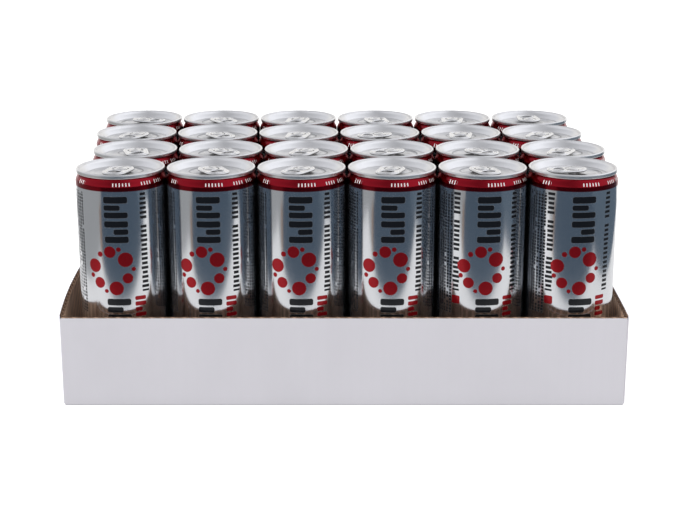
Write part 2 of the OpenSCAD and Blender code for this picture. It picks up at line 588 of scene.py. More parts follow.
# The neck band's foot and top, its marks' foot and top, and the stretches that carry marks: (left, right)
BAND, BAND_MARKS = (124.45, 131.7), (127.2, 129.5)
BAND_STRETCHES = [(-2.4, 10.0), (14.9, 31.3), (-27.0, -20.2)]
# Red bars of every face, and the one on the back face only: (left, right, bottom, top)
RED_BARS = [
    (9.4, 16.0, 55.9, 58.5),
    (9.4, 16.0, 59.4, 61.8),
    (9.4, 16.0, 49.4, 51.8),
    (9.4, 13.6, 52.6, 55.1),
]
BACK_RED_BAR = (-22.0, -16.6, 56.4, 61.4)
# Black bars down the middle of a face: (left, right, bottom, top)
BLACK_BARS = [
    (-7.0, 7.0, 117.6, 121.6),
    (-7.0, 2.6, 113.4, 116.6),
    (-7.0, 7.0, 108.9, 112.4),
    (-7.0, 7.0, 103.4, 107.2),
    (-1.6, 7.0, 99.1, 102.4),
    (-7.0, 7.0, 94.2, 98.1),
    (-7.0, 7.0, 56.6, 60.6),
    (-7.0, 2.4, 52.2, 55.6),
    (-7.0, 7.0, 47.2, 51.1),
    (-2.0, 7.0, 42.7, 46.1),
    (-7.0, 7.0, 37.8, 41.6),
    (-7.0, 7.0, 32.6, 36.4),
]


def can_print_finish(name):
    """Bright metal under varnish with a crimson neck band, black bars, red bubbles and rows of dashes."""
    tints = bpy.context.scene.pack_colours
    finish = Finish(name, {"Coat Roughness": 0.06, "Coat IOR": 1.5, "IOR": 1.45, "Anisotropic": 0.0})
    u_share, v = finish.uv(PRINT_MAP)
    round_can = math.pi * CAN_WIDE
    around = (u_share - 0.5) * round_can
    u = around.maths("WRAP", round_can / 4, -round_can / 4)
    back_face = abs(around) > round_can / 4

    grain = finish.noise(finish.place((1.0, 1.0, 9.0)), 900.0, 3.0)
    smear = finish.noise(finish.place((1.0, 1.0, 0.25)), 60.0, 3.0)
    base = finish.blend(smear.rise(0.3, 0.75), scaled(tints.silver, 0.93), tints.silver)

    columns = []
    for number in range(FINE_COLUMNS):
        left = FINE_LEFT + FINE_STEP * number
        columns.append(dash_row(finish, v, u, left, left + FINE_WIDE, 1.9, 0.76, 0.93, 11.0 * number))
    fine = largest(columns) * v.between(*FINE_RUN, SOFT)
    every_face, back_only = (
        dash_row(finish, v, u, left, right, 2.75, 0.62, 0.9, seed) * v.between(*DASH_RUN, SOFT)
        for left, right, seed in DASH_ROWS
    )
    bars = [rounded_bar(u, v, bar, 1.2) for bar in BLACK_BARS]
    black = largest([every_face, back_only * back_face, *bars])
    spot = finish.make("ShaderNodeCombineXYZ", {}, {0: u, 1: v})
    reds = [rounded_bar(u, v, BACK_RED_BAR, 1.0) * back_face]
    reds += [rounded_bar(u, v, bar, 0.8) for bar in RED_BARS]
    for right, up, radius in BUBBLES:
        middle = (BUBBLE_MIDDLE[0] + right, BUBBLE_MIDDLE[1] + up, 0.0)
        reds.append(finish.distance(spot, middle).rise(radius + SOFT / 2, radius - SOFT / 2))
    red = largest(reds)
    band = v.between(*BAND, 0.2)
    stretches = largest(u.between(left, right, 0.1) for left, right in BAND_STRETCHES)
    marks = dash_row(finish, u, v, *BAND_MARKS, 1.9, 0.34, 0.95, 3.0) * stretches * band

    wall = v.rise(6.0, 7.5)
    base = finish.blend(fine * wall, base, tints.grey)
    base = finish.blend(black * wall, base, tints.black)
    base = finish.blend(red, base, tints.red)
    base = finish.blend(band, base, tints.crimson)
    base = finish.blend(marks, base, tints.white)

    metal = 1.0 - black * 0.75 - marks * 0.9 - red * 0.35 - fine * 0.5
    finish.surface(
        base_color=base,
        metallic=metal.maths("ADD", 0.0, clamp=True),
        roughness=0.085 + grain * 0.05 + smear * 0.05 + band * 0.09 + red * 0.06 + black * 0.06,
        coat_weight=wall * 0.35 * (1.0 - black * 0.9) * (1.0 - red * 0.7) * (1.0 - band * 0.6),
        normal=finish.bump(finish.noise(finish.place((1.0, 1.0, 0.12)), 45.0, 2.0), 0.10, 0.35),
    )
    return finish.material


# Bare metals: (roughness, strength of the streaks, reach of the painted shade round the tab, its strength);
# on the tab the reach covers all of it, so its whole lower edge gets painted shade
END_METALS = {"lid_metal": (0.22, 0.35, 11.5, 0.55), "tab_metal": (0.13, 0.15, 40.0, 0.85)}
# Depths below the rim where the painted shade starts and is full, and its middle along the tab
PAINTED_SHADE_START, PAINTED_SHADE_FULL, PAINTED_SHADE_X = 1.6, 2.1, 3.6
# Strength of the painted shade under the tab's hole and along the score
HOLE_PAINTED_SHADE, SCORE_PAINTED_SHADE = 0.92, 0.4
# The scored opening in the panel: its middle along the tab, and half its length and width
SCORE_X, SCORE_LONG, SCORE_WIDE = -9.2, 8.2, 9.6
# Distance from the finger end of the tab to the middle of its hole
HOLE_SET_IN = 7.0


def end_metal_finish(name):
    """Bare rolled metal with a fine grain, faint rolling streaks and painted shade in the hollows under and
    round the tab.
    """
    rough, streak, reach, strength = END_METALS[name]
    tints = bpy.context.scene.pack_colours
    finish = Finish(name, {"Metallic": 1.0, "IOR": 1.45})
    x, y = finish.uv(LID_MAP)
    spot = finish.make("ShaderNodeCombineXYZ", {}, {0: x, 1: y})
    streaks = finish.noise(finish.place((1.0, 0.05, 1.0)), 2400.0, 3.0, 0.6)
    cloud = finish.noise(finish.place(), 90.0, 4.0)
    specks = finish.noise(finish.place(), 2600.0, 2.0)
    base = finish.blend(cloud.rise(0.3, 0.75), scaled(tints.end_metal, 0.90), tints.end_metal)
    base = finish.blend(streaks.rise(0.45, 0.8) * streak, base, scaled(tints.end_metal, 0.78))
    scale = (1 / SCORE_LONG, 1 / SCORE_WIDE, 0.0)
    score = finish.make("ShaderNodeVectorMath", {"operation": "MULTIPLY"}, {0: spot, 1: scale})
    hole_x = size("pack_tab", "finger") - HOLE_SET_IN
    # Painted shade: darker metal round and under the tab, under its hole and along the score, only below the
    # rim's top
    painted_shade = largest(
        [
            finish.distance(spot, (PAINTED_SHADE_X, 0.0, 0.0)).rise(reach, reach * 0.6) * strength,
            finish.distance(spot, (hole_x, 0.0, 0.0)).rise(5.2, 4.0) * HOLE_PAINTED_SHADE,
            finish.distance(score, (SCORE_X / SCORE_LONG, 0.0, 0.0)).between(0.95, 1.05, 0.04) * SCORE_PAINTED_SHADE,
        ]
    )
    rim = CAN_LOW.z / MM + CAN_TALL
    low = (finish.where("Z") / MM).rise(rim - PAINTED_SHADE_START, rim - PAINTED_SHADE_FULL)
    finish.surface(
        base_color=finish.blend(painted_shade * low, base, tints.end_shade),
        roughness=rough + cloud * 0.10 + streaks * streak * 0.2,
        normal=finish.bump(specks * 0.4 + streaks * 0.6, 0.02, 0.5),
    )
    return finish.material


def board_wave(along):
    """The waves of the board along a line, from 0 to 1."""
    return (along * (TAU / size("pack_tray", "flute_pitch"))).maths("SINE") * 0.5 + 0.5


def white_liner_finish(name):
    """Smooth white-coated board, slightly mottled, with faint painted shade along the waves under it."""
    tint = bpy.context.scene.pack_colours.liner_white
    finish = Finish(name, {"IOR": 1.45, "Specular IOR Level": 0.3})
    wave = board_wave(finish.uv(BOARD_MAP)[0])
    mottle = finish.noise(finish.place((1.0, 1.0, 0.6)), 38.0, 5.0, 0.6)
    fibre = finish.noise(finish.place(), 1500.0, 4.0, 0.7)
    blotch = finish.noise(finish.place(), 9.0, 3.0)
    base = finish.blend(mottle.rise(0.35, 0.7), scaled(tint, 0.965), tint)
    base = finish.blend(blotch.rise(0.4, 0.7) * 0.6, base, scaled(tint, 1.03))
    # Painted shade: slightly darker along the waves of the board under the liner
    base = finish.blend(wave.rise(0.55, 1.0) * 0.10, base, scaled(tint, 0.96))
    base = finish.blend(fibre.rise(0.62, 0.8) * 0.25, base, scaled(tint, 0.86))
    finish.surface(
        base_color=base,
        roughness=0.5 + fibre * 0.22,
        normal=finish.bump(wave * 0.2 + fibre * 0.4 + mottle * 0.4, 0.05, 0.5),
    )
    return finish.material


# Kraft papers of the board: (colour, strength of the painted highlight streaks along the waves)
KRAFTS = {"board_kraft": ("kraft", 0.8), "board_cut_edge": ("kraft_dark", 0.1)}


def kraft_finish(name):
    """Brown kraft paper with long fibres, specks and lighter streaks along the waves of the board, a painted
    highlight on the washboard ridges.
    """
    colour_name, streak = KRAFTS[name]
    tint = getattr(bpy.context.scene.pack_colours, colour_name)
    finish = Finish(name, {"IOR": 1.45, "Specular IOR Level": 0.25})
    wobble = finish.noise(finish.place((1.0, 1.0, 0.4)), 70.0, 3.0)
    wave = board_wave(finish.uv(BOARD_MAP)[0] + wobble * 1.8)
    fibre = finish.noise(finish.place((1.0, 1.0, 0.18)), 900.0, 5.0, 0.65)
    speck = finish.noise(finish.place(), 1900.0, 3.0, 0.6)
    stain = finish.noise(finish.place(), 26.0, 4.0)
    base = finish.blend(fibre.rise(0.3, 0.75), scaled(tint, 0.78), scaled(tint, 1.15))
    # Painted highlight: lighter streaks along the waves of the board
    base = finish.blend(wave.rise(0.45, 0.95) * streak, base, scaled(tint, 1.9))
    base = finish.blend(stain.rise(0.45, 0.75) * 0.35, base, scaled(tint, 0.72))
    base = finish.blend(speck.rise(0.66, 0.8) * 0.5, base, scaled(tint, 0.45))
    finish.surface(
        base_color=base,
        roughness=0.68 + fibre * 0.2,
        normal=finish.bump(fibre * 0.6 + speck * 0.4, 0.10, 0.6),
    )
    return finish.material


def finish_named(name, maker):
    """A material that is made the first time that it is asked for."""
    return bpy.data.materials.get(name) or maker(name)


# ---------------------------------------------------------------- can bodies


def joint_line():
    """The line where a can body and its end meet, from the top of the neck to the middle."""
    seam_tall, panel_wide, groove_depth, groove_wide = sizes(
        "pack_end", "seam_height", "panel_diameter", "groove_depth", "groove_width"
    )
    joint = CAN_TALL - groove_depth - 1.0
    neck = (size("pack_can", "neck_diameter") / 2 - 0.7, CAN_TALL - seam_tall)
    return [neck, (panel_wide / 2 + groove_wide + 0.6, joint), (0.0, joint)]


def body_section():
    """The section of a can body: dome, stand ring, foot, straight wall, neck and the joint under the end."""
    dome, foot, neck_wide, neck_tall = sizes(
        "pack_can", "dome_height", "foot_height", "neck_diameter", "neck_height"
    )
    wall_r, ring = size("pack_can", "diameter") / 2, size("pack_can", "stand_diameter") / 2
    leg = ring - 1.5
    rise = dome - 1.9
    dome_r = (leg * leg + rise * rise) / (2 * rise)
    spread = math.degrees(math.asin(leg / dome_r))
    section = arc((0, dome - dome_r), dome_r, 90, 90 - spread, 12)
    section += [(ring - 1.32, 1.1), (ring - 1.05, 0.45), (ring - 0.6, 0.08), (ring - 0.2, 0.0)]
    section += [(ring + 0.25, 0.12)]
    start = (ring + 0.8, 0.6)
    wide, tall = wall_r - start[0], foot - start[1]
    foot_r = (wide * wide + tall * tall) / (2 * wide)
    bend = math.degrees(math.asin(tall / foot_r))
    section += arc((wall_r - foot_r, foot), foot_r, -bend, 0, 10)
    neck_top = CAN_TALL - size("pack_end", "seam_height")
    neck_foot = neck_top - neck_tall
    section += [(wall_r, foot + (neck_foot - foot) * t / 8) for t in range(1, 8)]
    section += ease((wall_r, neck_foot), (neck_wide / 2, neck_top), 12)
    return section + joint_line()


# Turns of the print on the front row's cans, in degrees
FRONT_TURNS = (0.0, 0.0, 0.0, 0.0, 185.0, 187.7)


def print_turns():
    """The turn of each can's print: front row as listed, the others by chance."""
    luck = random.Random(SEED)
    most = bpy.context.scene.pack_can.print_turn
    turns = {}
    for row, column, _ in CELLS:
        if row == 1:
            turns[row, column] = math.radians(FRONT_TURNS[(column - 1) % len(FRONT_TURNS)])
        else:
            turns[row, column] = luck.choice((0.0, math.pi)) + luck.uniform(-most, most)
    return turns


class PACK_OT_can_bodies(bpy.types.Operator):
    """Build the body of every can, with its print"""

    bl_idname = "pack.can_bodies"
    bl_label = "Can bodies"

    def execute(self, context):
        material = finish_named("varnished_print", can_print_finish)
        points, faces, uvs = turned(body_section(), context.scene.pack_can.segments)
        mesh = build_mesh("can_body", points, faces, uvs, PRINT_MAP, sharp=40.0)
        add_on_cans("can_body", "can", material, mesh, print_turns())
        return {"FINISHED"}


# ---------------------------------------------------------------- can ends


def end_section():
    """The section of a can end: underside, rolled seam, chuck wall, groove and flat panel."""
    seam_wide, seam_tall, seam_thick = sizes("pack_end", "seam_diameter", "seam_height", "seam_thickness")
    panel_wide, panel_depth = sizes("pack_end", "panel_diameter", "panel_depth")
    groove_depth, groove_wide = sizes("pack_end", "groove_depth", "groove_width")
    seam_r, panel_r, roll, groove_r = seam_wide / 2, panel_wide / 2, seam_thick / 2, groove_wide / 2
    neck_top = CAN_TALL - seam_tall
    groove_z = CAN_TALL - groove_depth + groove_r
    section = joint_line()[::-1]
    section += [(seam_r - 0.85, neck_top)]
    section += arc((seam_r - 0.5, neck_top + 0.5), 0.5, -75, 0, 5)
    section += [(seam_r - 0.04, neck_top + seam_tall * 0.5)]
    section += arc((seam_r - roll, CAN_TALL - roll), roll, 10, 172, 10)
    chuck_top = (seam_r - seam_thick - 0.08, CAN_TALL - roll - 0.9)
    chuck_foot = (panel_r + groove_wide, groove_z)
    section += [chuck_top]
    section += [
        (
            chuck_top[0] + (chuck_foot[0] - chuck_top[0]) * t,
            chuck_top[1] + (chuck_foot[1] - chuck_top[1]) * t + 0.25 * math.sin(math.pi * t),
        )
        for t in (0.2, 0.4, 0.6, 0.8)
    ]
    section += arc((panel_r + groove_r, groove_z), groove_r, 0, -180, 8)
    panel_z = CAN_TALL - panel_depth
    section += arc((panel_r - 0.55, panel_z - 0.5), 0.5, 0, 90, 5)
    rings = bpy.context.scene.pack_end.rings
    section += [((panel_r - 0.55) * (1 - t / rings), panel_z) for t in range(1, rings + 1)]
    return section


def bell(distance, width):
    """1 at distance 0, fading to nothing past width."""
    return np.exp(-((distance / width) ** 2))


def panel_relief(x, y, z):
    """What is pressed into the panel: recess, score, beads, finger well and edge, with the tab towards +X."""
    panel_wide, panel_depth = sizes("pack_end", "panel_diameter", "panel_depth")
    panel_z = CAN_TALL - panel_depth
    radius = np.hypot(x, y)
    edge = panel_wide / 2 - 0.6
    on_panel = (np.abs(z - panel_z) < 0.01) & (radius < edge)
    inside = np.clip((17.9 - radius) / 1.1, 0, 1)
    relief = -0.5 * inside * inside * (3 - 2 * inside)
    score = np.hypot((x - SCORE_X) / SCORE_LONG, y / SCORE_WIDE)
    relief -= 0.28 * bell(score - 1.0, 0.055)
    relief += 0.42 * bell(score - 0.68, 0.11)
    relief -= 0.2 * bell(score, 0.4)
    relief -= 0.85 * bell(np.hypot((x - 14.6) / 1.25, y), 3.0)
    for side in (-1, 1):
        relief += 0.38 * bell(np.hypot((x - 4.5) / 4.2, y - side * 10.8), 1.0)
    return np.where(on_panel, relief, 0.0)


def rivet_section():
    """The section of the rivet's shank and head."""
    wide, panel_depth = sizes("pack_end", "rivet_diameter", "panel_depth")
    depth = size("pack_tab", "depth")
    foot = CAN_TALL - panel_depth - 0.9
    head = CAN_TALL - depth
    r = wide / 2
    section = [(0.0, foot), (r * 0.8, foot), (r * 0.8, head - 0.75)]
    section += arc((r - 0.3, head - 0.4), 0.3, -80, 80, 6)
    section += [(r * 0.72, head + 0.02), (r * 0.5, head - 0.02), (r * 0.38, head - 0.22), (0.0, head - 0.28)]
    return section


class PACK_OT_can_ends(bpy.types.Operator):
    """Build the end of every can, with its seam, panel, score and rivet"""

    bl_idname = "pack.can_ends"
    bl_label = "Can ends"

    def execute(self, context):
        material = finish_named("lid_metal", end_metal_finish)
        end = turned(end_section(), context.scene.pack_can.segments, panel_relief)
        rivet = turned(rivet_section(), 32)
        points, faces = join_parts([end[:2], rivet[:2]])
        mesh = build_mesh("can_end", points, faces, plan_uvs(points, faces), LID_MAP, sharp=42.0)
        add_on_cans("can_lid", "end", material, mesh, finger_turns())
        return {"FINISHED"}


# ---------------------------------------------------------------- tabs


def tab_outline(inset, steps):
    """The tab's outline seen from above, set in by inset, its finger end towards +X."""
    nose, finger, wide, finger_wide = sizes("pack_tab", "nose", "finger", "width", "finger_width")
    nose_r, finger_r = wide / 2, finger_wide / 2
    outline = []
    for x_middle, x_reach, reach, start in (
        (finger - finger_r, finger_r, finger_r, -90),
        (nose_r - nose, nose_r, nose_r, 90),
    ):
        for t in range(steps + 1):
            turn = math.radians(start + 180 * t / steps)
            c, s = math.cos(turn), math.sin(turn)
            power = 0.86 if start < 0 else 1.0
            bulge = math.copysign(abs(c) ** power, c), math.copysign(abs(s) ** power, s)
            outline.append((x_middle + (x_reach - inset) * bulge[0], (reach - inset) * bulge[1]))
    return outline


def oval(middle, reach_x, reach_y, steps):
    """Points round an oval, anticlockwise from +X."""
    turns = np.arange(steps) / steps * TAU
    return [(middle + reach_x * math.cos(a), reach_y * math.sin(a)) for a in turns]


def curled_edge(path, height, half_wide, half_tall, steps):
    """Points and faces of a closed tube of oval section along a closed path at a height."""
    path = np.asarray(path, float)
    ahead = np.roll(path, -1, 0) - np.roll(path, 1, 0)
    ahead /= np.linalg.norm(ahead, axis=1)[:, None]
    out = np.stack([ahead[:, 1], -ahead[:, 0]], 1)
    points, faces = [], []
    count = len(path)
    for k in range(steps):
        a = TAU * k / steps
        flat = path + out * (half_wide * math.cos(a))
        level = height + half_tall * math.sin(a)
        points += [(p[0], p[1], level) for p in flat]
    for k in range(steps):
        for j in range(count):
            a, b = k * count, ((k + 1) % steps) * count
            n = (j + 1) % count
            faces.append((a + j, a + n, b + n, b + j))
    return points, faces


def pierced_sheet(outline, holes, low, high):
    """Points and faces of a flat sheet between two heights with holes through it."""
    bm = bmesh.new()
    edges = []
    for loop in (outline, *holes):
        verts = [bm.verts.new((x, y, low)) for x, y in loop]
        edges += [bm.edges.new((verts[i], verts[(i + 1) % len(verts)])) for i in range(len(verts))]
    bmesh.ops.triangle_fill(bm, use_beauty=True, use_dissolve=False, edges=edges)
    top = bmesh.ops.extrude_face_region(bm, geom=list(bm.faces))["geom"]
    moved = [g for g in top if isinstance(g, bmesh.types.BMVert)]
    bmesh.ops.translate(bm, verts=moved, vec=(0, 0, high - low))
    bmesh.ops.recalc_face_normals(bm, faces=bm.faces)
    bm.verts.index_update()
    points = [tuple(v.co) for v in bm.verts]
    faces = [tuple(v.index for v in face.verts) for face in bm.faces]
    bm.free()
    return points, faces


def tab_parts():
    """Points and faces of the tab: curled edge, curl of the hole, web with its hole and slot, and ridge."""
    thick, depth, sheet, finger = sizes("pack_tab", "thickness", "depth", "sheet", "finger")
    rivet_r = size("pack_end", "rivet_diameter") / 2
    top = CAN_TALL - depth
    web_top = top - 0.42
    hole_x = finger - HOLE_SET_IN
    hole = oval(hole_x, 3.1, 4.3, 40)
    slot = arc((0, 0), rivet_r + 1.75, -118, 118, 27) + arc((0, 0), rivet_r + 0.75, 118, -118, 27)
    ridge = np.array([(x * 0.9 - 1.0, y * 0.74) for x, y in tab_outline(2.2, 26) if x < 0.2])
    ridge_inside = (ridge * 0.84 + np.array([-0.55, 0.0]))[::-1]
    return join_parts(
        [
            curled_edge(tab_outline(0.7, 26), top - thick / 2, 0.7, thick / 2, 12),
            curled_edge(oval(hole_x, 3.35, 4.55, 40), web_top - 0.1, 0.5, 0.5, 10),
            pierced_sheet(tab_outline(1.0, 26), [hole, slot], web_top - sheet, web_top),
            pierced_sheet([*ridge, *ridge_inside], [], web_top - 0.1, web_top + 0.24),
        ]
    )


class PACK_OT_tabs(bpy.types.Operator):
    """Build the stay-on tab of every can"""

    bl_idname = "pack.tabs"
    bl_label = "Tabs"

    def execute(self, context):
        material = finish_named("tab_metal", end_metal_finish)
        points, faces = tab_parts()
        mesh = build_mesh("tab", points, faces, plan_uvs(points, faces), LID_MAP, sharp=38.0)
        add_on_cans("tab", "end", material, mesh, finger_turns())
        return {"FINISHED"}


# ---------------------------------------------------------------- tray


class TrayPlan:
    """The tray's plan and heights in millimetres, from the frame and the tray's sizes."""

    def __init__(self):
        self.board, self.liner, self.fold = sizes("pack_tray", "board", "liner", "fold_radius")
        self.flap, self.drop, self.strip = sizes("pack_tray", "flap", "flap_drop", "corner_strip")
        bow_left, bow_right = sizes("pack_tray", "bow_left", "bow_right")
        self.bows = {-1: bow_left, 1: bow_right}
        self.left = TRAY_LOW.x / MM + bow_left
        self.right = TRAY_HIGH.x / MM - bow_right
        self.front = TRAY_LOW.y / MM
        self.back = TRAY_HIGH.y / MM
        self.top = TRAY_HIGH.z / MM
        self.side_front = self.front + self.board
        self.side_back = self.back - self.board

    def side_x(self, side, y, z):
        """X of the outer face of a side wall, bowed outwards, more so at the top."""
        t = 2 * (y - self.side_front) / (self.side_back - self.side_front) - 1
        share = 0.6 + 0.4 * min(1.0, max(0.0, z / self.top))
        edge = self.right if side > 0 else self.left
        return edge + side * self.bows[side] * share * max(0.0, 1 - t * t)


def run_lengths(grid, axis):
    """How far each row (axis 0) or column (axis 1) of a grid of points lies from the first one."""
    steps = np.linalg.norm(np.diff(grid, axis=axis), axis=2).mean(1 - axis)
    return np.concatenate([[0], np.cumsum(steps)])


def board_sheet(grid, inward, start, stop, wave=0.0):
    """Points, faces, UVs and kinds of faces of a closed sheet along a grid of points of the outer face.

    inward is the grid's inward normals, start and stop are how far the sheet's two faces lie in from the
    grid, and wave may move the second face in or out. The kinds are 0 outer, 1 inner and 2 rim.
    """
    rows, columns = grid.shape[:2]
    points = np.concatenate([(grid + inward * depth).reshape(-1, 3) for depth in (start, stop + wave)])
    along, up = run_lengths(grid, 0), run_lengths(grid, 1)
    shift = rows * columns
    last, far = columns - 1, (rows - 1) * columns
    faces, uvs, kinds = [], [], []

    def add(kind, face, corners):
        kinds.append(kind)
        faces.append(face)
        uvs.extend(corners)

    def place(k):
        return along[k // columns], up[k % columns]

    for i in range(rows - 1):
        for j in range(columns - 1):
            a, b = i * columns + j, (i + 1) * columns + j
            face = (a, b, b + 1, a + 1)
            add(0, face, [place(k) for k in face])
            face = (a, a + 1, b + 1, b)
            add(1, tuple(k + shift for k in face), [place(k) for k in face])
    rim = [(k + columns, k) for k in range(0, far, columns)]
    rim += [(k + last, k + last + columns) for k in range(0, far, columns)]
    rim += [(k, k + 1) for k in range(last)]
    rim += [(k + 1, k) for k in range(far, far + last)]
    for a, b in rim:
        add(2, (a, b, b + shift, a + shift), [place(a), place(b), place(b), place(a)])
    return points, faces, uvs, kinds


def sheet_piece(name, sheet, materials):
    """A board sheet as a piece of the tray, its faces' materials by kind: outer, inner, rim."""
    points, faces, uvs, kinds = sheet
    mesh = build_mesh(name, points, faces, uvs, BOARD_MAP, sharp=50.0)
    bm = bmesh.new()
    bm.from_mesh(mesh)
    bmesh.ops.recalc_face_normals(bm, faces=bm.faces)
    if bm.calc_volume(signed=True) < 0:
        bmesh.ops.reverse_faces(bm, faces=bm.faces)
    bm.to_mesh(mesh)
    bm.free()
    used = list(dict.fromkeys(materials))
    add_piece(name, mesh, used, "tray")
    mesh.polygons.foreach_set("material_index", np.array([used.index(materials[k]) for k in kinds], np.int32))
    mesh.update()


# Steps round a fold of the board, along a flap, and from the fold's flap side to where the wall is full
FOLD_STEPS, FLAP_STEPS, FLAP_SHARE = 6, 21, 2
# Radius in millimetres that the innermost face of the board keeps in a fold
INNER_FOLD = 0.3


def long_wall(plan, side, steps):
    """Grid and inward normals of the front (side -1) or back (side 1) wall with its bottom fold."""
    face_y = plan.front if side < 0 else plan.back
    section = [(face_y - side * (plan.board + plan.fold), 0.0, 0.0, 1.0)]
    for a in np.radians(np.linspace(0, 90, FOLD_STEPS + 1)):
        y = face_y - side * plan.fold * (1 - math.sin(a))
        section.append((y, plan.fold * (1 - math.cos(a)), -side * math.sin(a), math.cos(a)))
    section += [(face_y, z, -side, 0.0) for z in np.linspace(plan.fold, plan.top, 8)[1:]]
    xs = np.linspace(plan.left + plan.strip, plan.right - plan.strip, steps)[:: -side]
    grid = [[(x, y, z) for y, z, ny, nz in section] for x in xs]
    inward = [[(0.0, ny, nz) for y, z, ny, nz in section] for x in xs]
    return grid, inward


def side_path(plan, side, z, steps):
    """(x, y, inward x, inward y, share of flap) along a side wall and the flaps at both of its ends."""
    ends = []
    for way, y in ((1.0, plan.side_front), (-1.0, plan.side_back)):
        edge = plan.side_x(side, y, z)
        end = []
        for t in np.linspace(0, 1, FLAP_STEPS + 1)[:-1]:
            end.append((edge - side * (plan.flap + (plan.fold - plan.flap) * t), y, 0.0, way, 1.0))
        for t in range(FOLD_STEPS + 1):
            a = math.radians(90 * t / FOLD_STEPS)
            x = edge - side * plan.fold * (1 - math.sin(a))
            fold_y = y + way * plan.fold * (1 - math.cos(a))
            end.append((x, fold_y, -side * math.sin(a), way * math.cos(a), float(t <= FLAP_SHARE)))
        ends.append(end)
    ys = np.linspace(plan.side_front + plan.fold, plan.side_back - plan.fold, steps)[1:-1]
    return ends[0] + [(plan.side_x(side, y, z), y, -side, 0.0, 0.0) for y in ys] + ends[1][::-1]


def side_wall(plan, side, steps, lowest):
    """Grid and inward normals of a side wall and its two flaps, above the floor and no lower than lowest."""
    grid, inward = [], []
    shares = np.linspace(0, 1, 9)
    paths = [side_path(plan, side, plan.top * share, steps) for share in shares]
    last = len(paths[0]) - 1
    for k in range(last + 1)[::side]:
        in_fold = FLAP_STEPS <= min(k, last - k) <= FLAP_STEPS + FOLD_STEPS
        foot = max(INNER_FOLD if in_fold else plan.fold, lowest)
        column, normals = [], []
        for share, path in zip(shares, paths):
            x, y, nx, ny, flap = path[k]
            top = plan.top - plan.drop * flap
            column.append((x, y, foot + (top - foot) * share))
            normals.append((nx, ny, 0.0))
        grid.append(column)
        inward.append(normals)
    return grid, inward


def floor_sheet(plan, steps):
    """Grid and inward normals of the floor with the folds up into both side walls."""
    grid, inward = [], []
    fold_turns = np.radians(np.linspace(90, 0, FOLD_STEPS + 1))
    for y in np.linspace(plan.side_front + plan.fold, plan.side_back - plan.fold, steps):
        left, right = (plan.side_x(side, y, 0.0) for side in (-1, 1))
        row, normals = [], []
        for side, edge, turns in ((-1, left, fold_turns), (1, right, fold_turns[::-1])):
            for a in turns:
                x = edge - side * plan.fold * (1 - math.sin(a))
                row.append((x, y, plan.fold * (1 - math.cos(a))))
                normals.append((-side * math.sin(a), 0.0, math.cos(a)))
            if side < 0:
                for x in np.linspace(left + plan.fold, right - plan.fold, 12)[1:-1]:
                    row.append((x, y, 0.0))
                    normals.append((0.0, 0.0, 1.0))
        grid.append(row)
        inward.append(normals)
    return grid, inward


def tray_shapes(plan, lowest):
    """Grid and inward normals of each wall and of the floor, as arrays."""
    shapes = {
        "front": long_wall(plan, -1, 320),
        "back": long_wall(plan, 1, 320),
        "left": side_wall(plan, -1, 150, lowest),
        "right": side_wall(plan, 1, 150, lowest),
        "floor": floor_sheet(plan, 60),
    }
    return {name: [np.asarray(part, float) for part in shape] for name, shape in shapes.items()}


def washboard(grid, depth, pitch, seed):
    """How far the inner liner of a sheet lies in or out, in waves along the first direction of the grid."""
    along = run_lengths(grid, 0)
    luck = np.random.default_rng(seed)
    drift = np.interp(along, np.linspace(0, along[-1], 30), luck.uniform(-0.25, 0.25, 30))
    wave = np.sin(TAU * (along / pitch + drift)) * 0.5 * depth
    return wave[:, None, None]


class PACK_OT_tray_board(bpy.types.Operator):
    """Build the tray's white outer liner and brown inner liner"""

    bl_idname = "pack.tray_board"
    bl_label = "Tray liners"

    def execute(self, context):
        white = finish_named("board_white_liner", white_liner_finish)
        kraft = finish_named("board_kraft", kraft_finish)
        cut = finish_named("board_cut_edge", kraft_finish)
        plan, lining_plan = TrayPlan(), TrayPlan()
        lining_plan.fold = plan.board + INNER_FOLD
        pitch, depth = sizes("pack_tray", "flute_pitch", "washboard")
        linings = tray_shapes(lining_plan, plan.board - plan.liner)
        for number, (name, (grid, inward)) in enumerate(tray_shapes(plan, 0.0).items()):
            outer = board_sheet(grid, inward, 0.0, plan.liner)
            sheet_piece(f"tray_{name}_outer", outer, [white, kraft, white])
            grid, inward = linings[name]
            wave = washboard(grid, depth, pitch, SEED + number)
            inner = board_sheet(grid, inward, plan.board - plan.liner, plan.board, wave)
            sheet_piece(f"tray_{name}_inner", inner, [kraft, kraft, cut])
        return {"FINISHED"}


